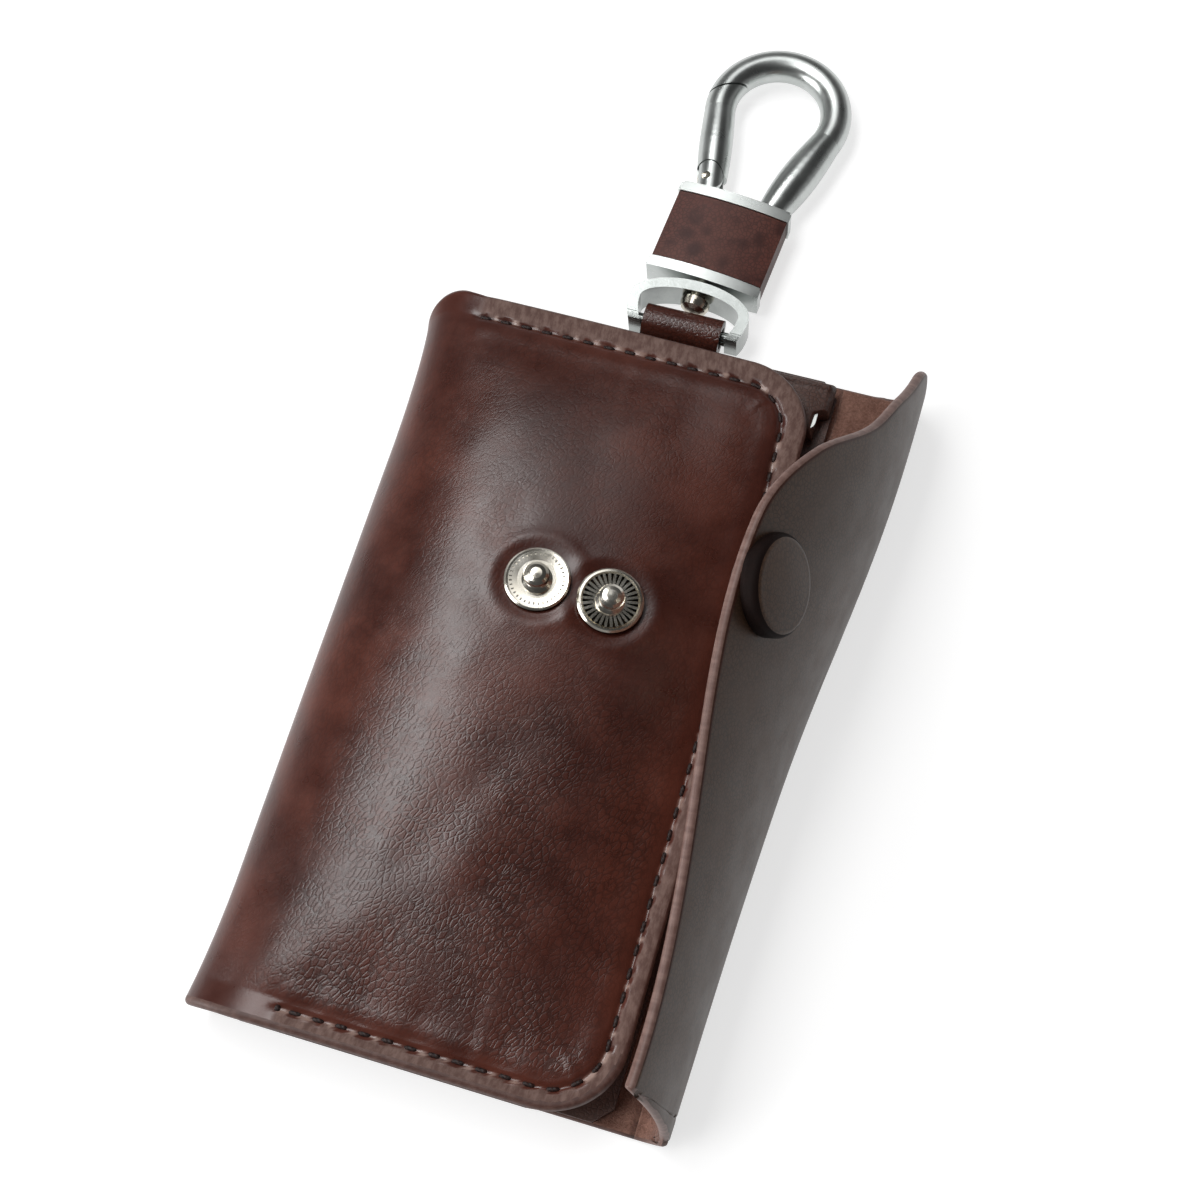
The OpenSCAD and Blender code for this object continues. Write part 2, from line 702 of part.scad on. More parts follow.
back_panel();
back_lining();
spine_leather();
spine_lining();
front_panel();
front_lining();
flap_fold();
flap_leather();
snap_cap();
snap_socket();
snap_spring();
stud_plain();
stud_ribbed();
stud_backs();
key_bar();
bar_rivets();
hook_rivets();
for (i = [1:hook_n]) {
    key_hook(i);
    hook_spring(i);
}
ring_tab();
swivel_ring();
swivel_rivet();
clip_body();
clip_wrap();
gate();
gate_pin();
gate_spring();
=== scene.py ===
"""Brown leather key case on its back, with an open snap flap and a carabiner clip."""
import math
import random

import bpy
import numpy as np
from mathutils import Matrix, Vector


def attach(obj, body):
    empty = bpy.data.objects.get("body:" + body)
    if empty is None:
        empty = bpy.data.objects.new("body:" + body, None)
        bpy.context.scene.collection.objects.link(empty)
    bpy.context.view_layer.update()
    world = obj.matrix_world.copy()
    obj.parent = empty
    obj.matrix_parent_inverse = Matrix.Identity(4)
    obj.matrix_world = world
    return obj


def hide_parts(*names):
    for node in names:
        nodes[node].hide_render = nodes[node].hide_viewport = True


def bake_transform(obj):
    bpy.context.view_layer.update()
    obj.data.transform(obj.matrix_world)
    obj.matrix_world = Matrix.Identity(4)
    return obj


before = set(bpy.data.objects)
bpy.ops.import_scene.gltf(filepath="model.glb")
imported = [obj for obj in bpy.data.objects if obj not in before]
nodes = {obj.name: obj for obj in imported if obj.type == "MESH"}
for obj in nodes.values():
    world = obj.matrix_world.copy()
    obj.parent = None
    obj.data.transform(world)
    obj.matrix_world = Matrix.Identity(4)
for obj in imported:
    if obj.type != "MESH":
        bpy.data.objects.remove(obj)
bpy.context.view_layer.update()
rng = random.Random(7)
MM = 0.001

# ---------------------------------------------------------------- the case's shape, in mm
HALF = 57.5                        # half of the case's length
LEATHER = 1.6                      # thickness of the shell's leather
BACK_X, FOLD_X = -26.0, -25.0      # where the spine starts, on the back and on the front
RIGHT_X, FLAP_X = 27.6, 30.7       # right edge of the front, and where the flap's fold starts
FRONT_LO, FRONT_HI = -58.1, 54.5   # bottom and top edge of the front
CORNER, CORNER_LEFT = 10.5, 5.5    # rounding of the front's right corners, and of the spine's top end
PUFF = 5.0                         # how far the front bulges over the keys
STITCH = 3.25                      # length of seam for one stitch
STUDS = [(-2.6, 10.5), (8.0, 10.5)]
FLAP_LEAN = 62.0                   # radius of the raised flap's slight curve
FLAP_LEAST = 6.9                   # shortest flap, at the end of its bottom cut
CUT_RISE = 7.6                     # leather length gained per mm along that cut
SNAP_S, SNAP_Y = 43.8, 10.5        # the snap: leather length from the fold, and place along the case
GRAIN_TURN = math.radians(27)      # slant of the hide's long creases


def lerp(a, b, t):
    return a + (b - a) * t


def smooth(t):
    t = np.clip(t, 0, 1)
    return t * t * (3 - 2 * t)


def share(y):
    """How far a station is along the case, from 0 at the bottom to 1 at the top."""
    return (y + HALF) / (2 * HALF)


def front_y(y):
    """Place of a station of the front panel: it bulges over the keys, so it ends short of the back."""
    return lerp(FRONT_LO, FRONT_HI, share(y))


def inset(y):
    """Distance of the seam from the edge."""
    return 2.85 + 0.95 * smooth((y - 20) / 28)


def puff_along(y):
    """Share of the front's bulge at a station: 1 at mid length, 0 near the ends."""
    return 1 - np.minimum(1, np.abs(y) / (HALF - 4)) ** 3


def border_z(x, y):
    """Height of the front without its bulge."""
    return lerp(12.0, 10.4, share(y)) - 1.2 * (np.maximum(0, x + 20) / 47.6) ** 2


def top_end(y):
    """From 0 at the start of the case's top quarter to 1 at its end."""
    return np.maximum(0, y - 28) / 29.5


def spine_oval(y):
    """Half width, leftmost x and middle height of the spine's oval at a station along the case."""
    v = puff_along(y)
    flare = 1.8 * top_end(y) ** 2 + 1.3 * (np.maximum(0, -38 - y) / 19.5) ** 2
    return lerp(12.0, 24.0, v), -31.7 - flare, 5.6 + 0.4 * v


def spine_cut(x, y):
    """How far the spine's top end is cut back at x, which rounds its corner."""
    g = np.clip(1 - (x - spine_oval(y)[1]) / CORNER_LEFT, 0, 1)
    return CORNER_LEFT * (1 - np.sqrt(1 - g * g)) * top_end(y) ** 3


def outer_z(x, y):
    """Height of the case's outer face above x, y: the spine's oval, then the bulging front."""
    v = puff_along(y)
    a, left, mid = spine_oval(y)
    xc = left + a
    top = border_z(x, y) + PUFF * v
    near = mid + (top - mid) * np.sqrt(np.maximum(0, 1 - (np.maximum(0, xc - x) / a) ** 2))
    u = np.minimum(1, np.maximum(0, x + 8) / (RIGHT_X - 3.5 + 8))
    return np.where(x < xc, near, border_z(x, y) + PUFF * v * (1 - u ** 2.4))


def front_edge(y):
    """Right end of a station of the front, with the corners' rounding."""
    d = np.maximum(0, np.abs(y) - (HALF - CORNER))
    return RIGHT_X - CORNER + np.sqrt(np.maximum(0, CORNER ** 2 - d * d))


def flap_wave(y):
    """Slow wave of the flap along the case."""
    upper = np.sin(np.radians(180 * (y - 15) / 46))
    lower = -np.cos(np.radians(2 * (y + 8)))
    return 0.9 * np.where(y > -8, upper, lower)


def flap_flat(y):
    """Length of leather that lies flat before the flap bends up."""
    return lerp(0.2, 6.0, share(y)) + flap_wave(y)


def flap_bend(y):
    """Radius of the flap's bend."""
    return lerp(3.6, 5.2, share(y))


def flap_at(s, y):
    """Middle line of the flap's leather: x and z at a leather length s from the fold."""
    flat, r = flap_flat(y), flap_bend(y)
    bend = r * math.pi / 2
    h1 = np.clip((s - flat) / r, 0, math.pi / 2)
    h2 = math.pi / 2 + np.maximum(0, s - flat - bend) / FLAP_LEAN
    x = FLAP_X + np.minimum(s, flat) + r * np.sin(h1) + FLAP_LEAN * (np.sin(h2) - 1)
    z = LEATHER / 2 + r * (1 - np.cos(h1)) - FLAP_LEAN * np.cos(h2)
    return x, z


def flap_cut(y):
    """The slanting cut across the flap's bottom corner: leather length at a place along the case."""
    return 1 + CUT_RISE * (y + HALF)


def flap_free(y):
    """Leather length from the fold to the flap's free edge."""
    # Widest beside the snap, narrower towards both ends, with a shallow dip above the snap
    s = np.where(y > 17, 21 + 30.7 * smooth((64 - y) / 47), 51.7 - 20.7 * smooth((17 - y) / 71))
    dip = np.where(np.abs(y - 39) < 9, np.cos(np.radians(10 * (y - 39))) ** 2, 0)
    s = np.minimum(s - 1.8 * dip + 2.2 * flap_wave(y), flap_cut(y))
    d = np.maximum(0, y - HALF + 3)
    return np.maximum(FLAP_LEAST, s - (3 - np.sqrt(np.maximum(0, 9 - d * d))))


def edge_distance(x, y):
    """Distance from a point of the front to its outline, which has no left side."""
    up, low = FRONT_HI - y, y - FRONT_LO
    qx, qy = x - (RIGHT_X - CORNER), CORNER - np.minimum(up, low)
    corner = CORNER - np.hypot(np.maximum(qx, 0), np.maximum(qy, 0))
    return np.where((qx > 0) & (qy > 0), corner, np.minimum(RIGHT_X - x, np.minimum(up, low)))


# ---------------------------------------------------------------- mesh helpers
def hash_noise(px, py, seed):
    """Smooth value noise of two coordinates, from -1 to 1."""
    def corner(ix, iy):
        h = np.sin(ix * 127.1 + iy * 311.7 + seed * 74.7) * 43758.5453
        return (h - np.floor(h)) * 2 - 1
    ix, iy = np.floor(px), np.floor(py)
    fx, fy = smooth(px - ix), smooth(py - iy)
    top = lerp(corner(ix, iy), corner(ix + 1, iy), fx)
    return lerp(top, lerp(corner(ix, iy + 1), corner(ix + 1, iy + 1), fx), fy)


def grid_normals(points):
    du, dv = np.gradient(points, axis=1), np.gradient(points, axis=0)
    n = np.cross(du, dv)
    return n / np.maximum(np.linalg.norm(n, axis=2, keepdims=True), 1e-9)


def new_mesh(name, verts, faces, mats, indices=None):
    """A smooth mesh object from points in mm. The indices give each face its material."""
    me = bpy.data.meshes.new(name)
    points = [tuple(v) for v in np.asarray(verts) * MM]
    me.from_pydata(points, [], [tuple(int(i) for i in f) for f in faces])
    for m in mats:
        me.materials.append(m)
    if indices is not None:
        me.polygons.foreach_set("material_index", np.asarray(indices, np.int32))
    me.polygons.foreach_set("use_smooth", np.ones(len(me.polygons), bool))
    me.update()
    ob = bpy.data.objects.new(name, me)
    bpy.context.scene.collection.objects.link(ob)
    return ob


def put_attribute(ob, name, values):
    """Store one number or one vector per point, for the materials."""
    values = np.asarray(values, np.float32)
    kind = "FLOAT" if values.ndim == 1 else "FLOAT_VECTOR"
    a = ob.data.attributes.new(name, kind, "POINT")
    a.data.foreach_set("value" if kind == "FLOAT" else "vector", values.ravel())


def slab(name, face, normal, dist, flat, mask, mats, thick=LEATHER, round_r=0.75, bead=0.41,
         sharp_start=False):
    """A sheet of leather below a face grid, its rim rounded where dist, the distance to the edge, is small.

    The materials are those of the face, the underside and the edge, which reaches bead from the rim.
    """
    rows, cols = face.shape[:2]
    half = thick / 2
    t = np.clip(dist / round_r, 0, 1)
    h = half * np.sqrt(np.maximum(0.0004, 1 - (1 - t) ** 2))
    outer = face - normal * (half - h)[..., None]
    inner = face - normal * (half + h)[..., None]
    verts = np.concatenate([outer.reshape(-1, 3), inner.reshape(-1, 3)])
    idx = np.arange(rows * cols).reshape(rows, cols)
    a, b, c, d = idx[:-1, :-1], idx[:-1, 1:], idx[1:, 1:], idx[1:, :-1]
    up = np.stack([a, b, c, d], -1).reshape(-1, 4)
    down = np.stack([a, d, c, b], -1).reshape(-1, 4) + rows * cols
    loop = np.concatenate([idx[0, :-1], idx[:-1, -1], idx[-1, :0:-1], idx[:0:-1, 0]])
    nxt = np.roll(loop, -1)
    rim = np.stack([loop, loop + rows * cols, nxt + rows * cols, nxt], -1)
    gap = dist - bead
    on_edge = (gap[:-1, :-1] + gap[1:, 1:] < 0).reshape(-1)
    kinds = np.concatenate([np.where(on_edge, 2, 0), np.where(on_edge, 2, 1), np.full(len(rim), 2)])
    ob = new_mesh(name, verts, np.concatenate([up, down, rim]), mats, kinds)
    put_attribute(ob, "flat", np.concatenate([flat.reshape(-1, 3)] * 2) * MM)
    put_attribute(ob, "border", np.concatenate([mask.reshape(-1)] * 2))
    if sharp_start:
        me = ob.data
        ends = set(int(i) for i in idx[:, 0]) | set(int(i) + rows * cols for i in idx[:, 0])
        sharp = [e.vertices[0] in ends and e.vertices[1] in ends for e in me.edges]
        s = me.attributes.new("sharp_edge", "BOOLEAN", "EDGE")
        s.data.foreach_set("value", sharp)
    return ob


def fine_steps(total, fine_to, fine, coarse, both):
    """Positions from 0 to total: very fine within a rim, fine to fine_to, coarse between."""
    rim = [0, 0.04, 0.12, 0.24, 0.4, 0.58, 0.78]
    end = rim + list(np.arange(rim[-1] + fine, fine_to, fine))
    start = end if both else [0.0]
    stop = [total - e for e in end][::-1]
    n = max(2, int(round((stop[0] - start[-1]) / coarse)))
    middle = list(np.linspace(start[-1], stop[0], n + 1)[1:-1])
    return np.array(start + middle + stop)


def tube_faces(base, rings, sides):
    """Faces of a closed tube, whose rings of points start at base."""
    faces = []
    for j in range(rings - 1):
        for i in range(sides):
            a, b = base + j * sides + i, base + j * sides + (i + 1) % sides
            faces.append((a, b, b + sides, a + sides))
    faces.append(tuple(base + i for i in range(sides))[::-1])
    faces.append(tuple(base + (rings - 1) * sides + i for i in range(sides)))
    return faces


# ---------------------------------------------------------------- materials
def srgb(r, g, b):
    def lin(v):
        v /= 255
        return v / 12.92 if v <= 0.04045 else ((v + 0.055) / 1.055) ** 2.4
    return (lin(r), lin(g), lin(b), 1)


class Nodes:
    """A short way to write a node tree."""

    def __init__(self, name):
        self.mat = bpy.data.materials.new(name)
        self.mat.use_nodes = True
        self.tree = self.mat.node_tree
        self.shader = self.tree.nodes["Principled BSDF"]

    def add(self, kind, inputs=None, **props):
        n = self.tree.nodes.new("ShaderNode" + kind)
        for k, v in props.items():
            setattr(n, k, v)
        for k, v in (inputs or {}).items():
            self.feed(n.inputs[k], v)
        return n

    def feed(self, socket, v):
        if isinstance(v, bpy.types.NodeSocket):
            self.tree.links.new(v, socket)
        elif isinstance(v, bpy.types.Node):
            self.tree.links.new(v.outputs[0], socket)
        else:
            socket.default_value = v

    def set(self, **values):
        for k, v in values.items():
            self.feed(self.shader.inputs[k.replace("_", " ")], v)

    def math(self, op, a, b=0.0, clamp=False):
        return self.add("Math", {0: a, 1: b}, operation=op, use_clamp=clamp).outputs[0]

    def ramp(self, fac, lo, hi, a=0.0, b=1.0):
        return self.add("MapRange", {0: fac, 1: lo, 2: hi, 3: a, 4: b}, clamp=True,
                        interpolation_type="SMOOTHSTEP").outputs[0]

    def mix(self, fac, a, b):
        m = self.add("Mix", data_type="RGBA")
        self.feed(m.inputs[0], fac)
        self.feed(m.inputs[6], a)
        self.feed(m.inputs[7], b)
        return m.outputs[2]

    def attribute(self, name):
        return self.add("Attribute", attribute_name=name).outputs[2]

    def place(self, flat):
        """Place on the leather laid flat, where a piece carries it, or else in the piece's own space."""
        if flat:
            return self.add("Attribute", attribute_name="flat").outputs[1]
        return self.add("TexCoord").outputs[3]

    def noise(self, vector, scale, detail=3.0, rough=0.5):
        return self.add("TexNoise", {"Vector": vector, "Scale": scale, "Detail": detail,
                                     "Roughness": rough}).outputs[0]

    def voronoi(self, vector, scale, feature="F1"):
        return self.add("TexVoronoi", {"Vector": vector, "Scale": scale}, feature=feature).outputs[0]

    def mapped(self, vector, scale=(1, 1, 1), turn=0.0):
        inputs = {"Vector": vector, "Scale": scale, "Rotation": (0, 0, turn)}
        return self.add("Mapping", inputs).outputs[0]

    def bump(self, height, distance, strength=1.0, normal=None):
        ins = {"Height": height, "Distance": distance, "Strength": strength}
        if normal is not None:
            ins["Normal"] = normal
        return self.add("Bump", ins).outputs[0]

    def warped(self, vector, scale, amount):
        """The vector, shifted by up to half the amount by a noise."""
        n = self.add("TexNoise", {"Vector": vector, "Scale": scale, "Detail": 2.0})
        off = self.add("VectorMath", {0: n.outputs[1], 1: (0.5, 0.5, 0.5)}, operation="SUBTRACT")
        big = self.add("VectorMath", {0: off.outputs[0], "Scale": amount}, operation="SCALE")
        return self.add("VectorMath", {0: vector, 1: big.outputs[0]}, operation="ADD").outputs[0]


def leather(name, flat, dark=(64, 28, 20), light=(92, 46, 34), rough=0.29, grain=0.000018,
            lay=False, rim=None, spotted=False, gloss=0.55):
    """Waxed full-grain leather: fine creases between long pebbles, darkened with painted shade, pores and a
    softly mottled dye.

    With lay the creases slant, and the front's attributes give their depth, its worn border and the
    painted glints beside the seam's holes. A rim is the colour of a line along a flap's edge.
    """
    m = Nodes(name)
    at = m.place(flat)
    warp = m.warped(m.warped(at, 420, 0.0007), 90, 0.002)
    pebbles = m.mapped(m.mapped(warp, turn=GRAIN_TURN), (1, 0.5, 1)) if lay else warp
    line = m.ramp(m.voronoi(pebbles, 1500, "DISTANCE_TO_EDGE"), 0.0, 0.2)
    small = m.voronoi(warp, 2900)
    pores = m.noise(at, 3600, 2.0, 0.6)
    broad = m.noise(at, 45, 4.0, 0.55)
    patches = m.noise(at, 190, 3.0, 0.6)
    tone = m.math("ADD", m.math("MULTIPLY", broad, 0.75), m.math("MULTIPLY", patches, 0.3))
    colour = m.mix(m.ramp(tone, 0.38, 0.72), srgb(*dark), srgb(*light))
    depth = m.ramp(m.noise(at, 130, 2.0), 0.3, 0.65, 0.55, 1.0)
    if lay:
        crease = m.attribute("crease")
        depth = m.math("MULTIPLY", depth, crease)
    groove = m.math("MULTIPLY", m.math("SUBTRACT", 1.0, line), depth)
    # Painted shade: the colour is darkened in the creases of the grain
    colour = m.mix(m.math("MULTIPLY", groove, 0.55), colour, srgb(*[c * 0.45 for c in dark]))
    if spotted:
        spots = m.ramp(m.voronoi(m.warped(at, 260, 0.002), 300), 0.15, 0.6, 0.9, 0.0)
        colour = m.mix(m.math("MULTIPLY", spots, m.ramp(patches, 0.3, 0.5)), colour, srgb(56, 24, 19))
    height = m.math("ADD", m.math("MULTIPLY", groove, -1.0), m.math("MULTIPLY", small, -0.28))
    height = m.math("ADD", height, m.math("MULTIPLY", pores, 0.22))
    normal = m.bump(height, grain)
    matt = m.ramp(patches, 0.3, 0.7, rough - 0.02, rough + 0.04)
    if lay:
        # Long shallow folds across the hide, in the bump and with painted shade darkening their colour
        turned = m.mapped(m.mapped(m.warped(at, 160, 0.0016), turn=GRAIN_TURN), (560, 140, 1))
        fold = m.add("TexNoise", {"Vector": turned, "Scale": 1.0, "Detail": 3.0, "Roughness": 0.6},
                     noise_type="RIDGED_MULTIFRACTAL")
        lines = m.math("MULTIPLY", m.ramp(fold.outputs[0], 0.45, 1.2), crease)
        normal = m.bump(lines, -0.00004, normal=normal)
        # Painted shade along the folds
        colour = m.mix(m.math("MULTIPLY", lines, 0.35), colour, srgb(40, 16, 12))
        # The worn border outside the seam
        edge = m.attribute("border")
        streak = m.noise(m.mapped(at, (1100, 420, 900)), 1.0, 3.0, 0.7)
        worn = m.mix(m.ramp(streak, 0.35, 0.7), srgb(92, 65, 57), srgb(126, 101, 92))
        colour = m.mix(m.math("MULTIPLY", edge, 0.92), colour, worn)
        # Painted highlight: pale glints on the leather between the seam's stitches
        colour = m.mix(m.math("MULTIPLY", m.attribute("glint"), 0.75), colour, srgb(188, 160, 148))
        matt = m.math("MAXIMUM", matt, m.math("MULTIPLY", edge, 0.75))
    if rim:
        colour = m.mix(m.attribute("border"), colour, srgb(*rim))
    m.set(Base_Color=colour, Roughness=matt, Normal=normal, Specular_IOR_Level=gloss)
    return m.mat


def suede(name, dark=(106, 74, 63), light=(150, 113, 99)):
    """The napped flesh side of the leather."""
    m = Nodes(name)
    at = m.place(True)
    fibre = m.noise(m.warped(at, 700, 0.0012), 2600, 4.0, 0.75)
    patch = m.noise(at, 170, 3.0, 0.6)
    tone = m.math("ADD", m.math("MULTIPLY", fibre, 0.6), m.math("MULTIPLY", patch, 0.5))
    m.set(Base_Color=m.mix(m.ramp(tone, 0.4, 0.72), srgb(*dark), srgb(*light)), Roughness=0.95,
          Normal=m.bump(fibre, 0.00025, 0.8), Sheen_Weight=0.25, Sheen_Roughness=0.5,
          Specular_IOR_Level=0.15)
    return m.mat


def painted_edge(name, dark, light):
    """The cut edge of the leather, painted and rubbed smooth."""
    m = Nodes(name)
    runs = m.noise(m.place(True), 900, 3.0, 0.6)
    m.set(Base_Color=m.mix(m.ramp(runs, 0.35, 0.7), srgb(*dark), srgb(*light)),
          Roughness=0.5, Normal=m.bump(runs, 0.00004, 0.6))
    return m.mat


def metal(name, colour, rough):
    """Plated metal with a little cloudiness and dust."""
    m = Nodes(name)
    at = m.place(False)
    cloud = m.noise(at, 240, 3.0, 0.6)
    dust = m.noise(at, 2400, 2.0, 0.6)
    lighter = [min(255, c + 14) for c in colour]
    m.set(Base_Color=m.mix(m.ramp(cloud, 0.3, 0.7), srgb(*colour), srgb(*lighter)), Metallic=1.0,
          Roughness=m.ramp(cloud, 0.3, 0.7, rough, rough + 0.06), Normal=m.bump(dust, 0.000015, 0.4))
    return m.mat


def stud_metal(name, x, y):
    """Nickel of a stud: bright on its raised rim, ribs and post, dark brown in its sunk floor."""
    m = Nodes(name)
    slope = (float(outer_z(x + 0.1, y)) - float(outer_z(x - 0.1, y))) / 0.2
    local = nodes["stud_ribbed"].matrix_world.inverted()
    axis = (local.to_3x3() @ Vector((-slope, 0, 1))).normalized()
    foot = axis.dot(local @ (Vector((x, y, float(outer_z(x, y)))) * MM))
    at = m.place(False)
    along = m.add("VectorMath", {0: at, 1: axis}, operation="DOT_PRODUCT").outputs["Value"]
    up = m.math("SUBTRACT", along, foot)
    cloud = m.noise(at, 240, 3.0, 0.6)
    bright = m.mix(m.ramp(cloud, 0.3, 0.7), srgb(222, 216, 202), srgb(238, 234, 224))
    m.set(Base_Color=m.mix(m.ramp(up, 0.0002, 0.0005), srgb(52, 44, 34), bright), Metallic=1.0,
          Roughness=m.ramp(cloud, 0.3, 0.7, 0.16, 0.24))
    return m.mat


def thread(name):
    """Dark twisted thread."""
    m = Nodes(name)
    twist = m.add("TexWave", {"Vector": m.place(False), "Scale": 900.0, "Distortion": 2.0, "Detail": 1.0},
                  bands_direction="DIAGONAL").outputs[1]
    m.set(Base_Color=m.mix(twist, srgb(24, 9, 7), srgb(44, 20, 15)), Roughness=0.6,
          Normal=m.bump(twist, 0.00006, 0.7))
    return m.mat


def cap_wall_shade(name):
    """The matt wall of the snap's cap, where the leather is stretched round it, coloured near black as
    painted shade.
    """
    m = Nodes(name)
    m.set(Base_Color=m.mix(m.noise(m.place(False), 900, 2.0), srgb(14, 7, 6), srgb(26, 13, 10)),
          Roughness=0.7, Specular_IOR_Level=0.1)
    return m.mat


FRONT = leather("front_leather", True, lay=True)
HIDE = leather("back_leather", True)
# The flap's colours are the front's brown greyed towards olive: partly the leather's own colour, partly a
# painted sheen that stands for the grazing reflection on its face
FLAP = leather("flap_leather", True, dark=(74, 53, 40), light=(82, 60, 47), rough=0.4, grain=0.000004,
               rim=(58, 24, 18), gloss=0.2)
CAP_WALL_SHADE = cap_wall_shade("cap_wall_shade")
SUEDE = suede("suede_side")
EDGE = painted_edge("painted_edge", (78, 50, 43), (98, 70, 62))
FLAP_EDGE = painted_edge("flap_edge", (104, 76, 68), (126, 98, 90))
TAB = leather("tab_leather", False, grain=0.00003)
BAND = leather("band_leather", False, dark=(86, 44, 36), light=(100, 61, 52), rough=0.45, grain=0.000006,
               spotted=True, gloss=0.3)
LINING = leather("lining_leather", False, dark=(66, 40, 32), light=(86, 58, 49), rough=0.55,
                 grain=0.00003)
CHROME = metal("chrome", (184, 188, 186), 0.27)
# The ring's chrome is a darker copy of the clip's, painted dimmer as shade, so that the softbox's
# reflection on its flat top shows grey
RING = metal("ring_chrome", (158, 162, 160), 0.2)
NICKEL = metal("nickel", (200, 194, 180), 0.2)
STUD_PLAIN = stud_metal("plain_stud", *STUDS[0])
STUD_RIBBED = stud_metal("ribbed_stud", *STUDS[1])
STEEL = metal("spring_steel", (170, 168, 160), 0.25)
THREAD = thread("thread")

# The CAD pieces that are carried over as they are
DRESS = {
    "back_lining": LINING, "spine_lining": LINING, "front_lining": LINING,
    "snap_socket": NICKEL, "snap_spring": STEEL, "stud_plain": STUD_PLAIN, "stud_ribbed": STUD_RIBBED,
    "stud_backs": STEEL, "key_bar": CHROME, "bar_rivets": NICKEL, "hook_rivets": NICKEL,
    "ring_tab": TAB, "swivel_ring": RING, "swivel_rivet": NICKEL, "clip_body": CHROME,
    "clip_wrap": BAND, "gate": CHROME, "gate_pin": NICKEL, "gate_spring": STEEL,
    **{f"key_hook_{i}": CHROME for i in range(1, 7)},
    **{f"hook_spring_{i}": STEEL for i in range(1, 7)},
}
for node_name, material in DRESS.items():
    nodes[node_name].data.materials.clear()
    nodes[node_name].data.materials.append(material)

# ---------------------------------------------------------------- front panel and upper spine
SEAM_TOP, SEAM_LOW = -25.4, -19.4   # where the seam starts at the top, and ends at the bottom


def seam_path():
    """Points along the seam, and the length to each: the top, the right side, the bottom."""
    xr, top, low = RIGHT_X - CORNER, FRONT_HI - CORNER, FRONT_LO + CORNER
    turn = [(math.sin(t), math.cos(t)) for t in np.linspace(0, math.pi / 2, 60)]
    # Each entry is a point of the outline and the direction from it into the front
    line = [(x, FRONT_HI, 0, -1) for x in np.arange(SEAM_TOP, xr, 0.1)]
    line += [(xr + CORNER * a, top + CORNER * b, -a, -b) for a, b in turn]
    line += [(RIGHT_X, y, -1, 0) for y in np.arange(top, low, -0.1)]
    line += [(xr + CORNER * b, low - CORNER * a, -b, a) for a, b in turn]
    line += [(x, FRONT_LO, 0, 1) for x in np.arange(xr, SEAM_LOW, -0.1)]
    line = np.array(line)
    pts = line[:, :2] + line[:, 2:] * inset(line[:, 1])[:, None]
    run = np.concatenate([[0], np.cumsum(np.linalg.norm(np.diff(pts, axis=0), axis=1))])
    return pts, run


SEAM_PTS, SEAM_RUN = seam_path()
STITCHES = np.arange(STITCH / 2, SEAM_RUN[-1], STITCH)


def seam_run_at(x, y):
    """Length along the seam of the point of the seam nearest to x, y."""
    step = 8
    pts = SEAM_PTS[::step]
    d = (x[..., None] - pts[:, 0]) ** 2 + (y[..., None] - pts[:, 1]) ** 2
    return SEAM_RUN[::step][np.argmin(d, axis=-1)]


def front_path(y):
    """Dense outer line of a station, from the spine to the right edge: x, place along the case, z, length.

    Over the spine the place runs from the station's own to where the front panel has it.
    """
    a, left, mid = spine_oval(y)
    xc = left + a
    t = np.linspace(0, math.pi / 2, 90)
    x = xc - a * np.cos(t)
    z = mid + (border_z(x, y) + PUFF * puff_along(y) - mid) * np.sin(t)
    x2 = np.linspace(xc, front_edge(y), 120)[1:]
    x, z = np.concatenate([x, x2]), np.concatenate([z, outer_z(x2, y)])
    run = np.concatenate([[0], np.cumsum(np.hypot(np.diff(x), np.diff(z)))])
    over = np.interp(FOLD_X, x, run)
    place = lerp(y, front_y(y), np.clip(0.5 + 0.5 * run / over, 0, 1)) - spine_cut(x, y)
    return x, place, z, run


def front_grid():
    """The front and the upper spine as rows of points, dense at the rims: x, y, z and length."""
    dense = 8.0
    across = 60.0
    rim = fine_steps(across, dense, 0.3, 0.55, False)
    rim = across - rim[rim > across - dense][::-1]
    grid = []
    for y in fine_steps(2 * HALF, dense, 0.3, 0.55, True) - HALF:
        path = front_path(y)
        run = path[-1]
        near = run[-1] - rim[::-1]
        u = np.concatenate([np.linspace(0, near[0], 106, endpoint=False), near])
        grid.append([np.interp(u, run, line) for line in path])
    return np.array(grid).transpose(1, 0, 2)


def front_relief(x, y, out, run, phase, wobble, inside):
    """Height of the seam's groove, the folds, the dimples and the puckers over the smooth front.

    Out is the distance inwards from the seam, run the length along it, and phase its stitches.
    """
    seam = np.exp(-((out - 0.3 * wobble) / 0.42) ** 2)
    pull = 0.8 - 0.2 * np.cos(phase)
    lift = -0.55 * seam * pull * inside
    lift += 0.14 * np.exp(-((out - 2.2) / 1.6) ** 2) * inside
    lift += 0.10 * np.exp(-((out + 1.7) / 0.9) ** 2) * inside
    body = smooth(out / 9) * smooth((x + 31) / 8)
    lift += 0.26 * body * hash_noise(x * 0.085 + y * 0.03, y * 0.05, 5)
    lift += 0.10 * body * hash_noise(x * 0.17 - y * 0.07, y * 0.10, 9)
    for stud_x, stud_y in STUDS:
        r = np.hypot(x - stud_x, y - stud_y)
        lift += -0.32 * np.exp(-(r / 5.6) ** 4) + 0.20 * np.exp(-((r - 6.6) / 1.2) ** 2)
    puckers = smooth(out / 1.5) * np.exp(-np.maximum(0, out) / 5.5) * inside
    lift += 0.07 * puckers * np.sin(phase * 0.5 + 2.2 * hash_noise(run * 0.25, run * 0, 4))
    return lift


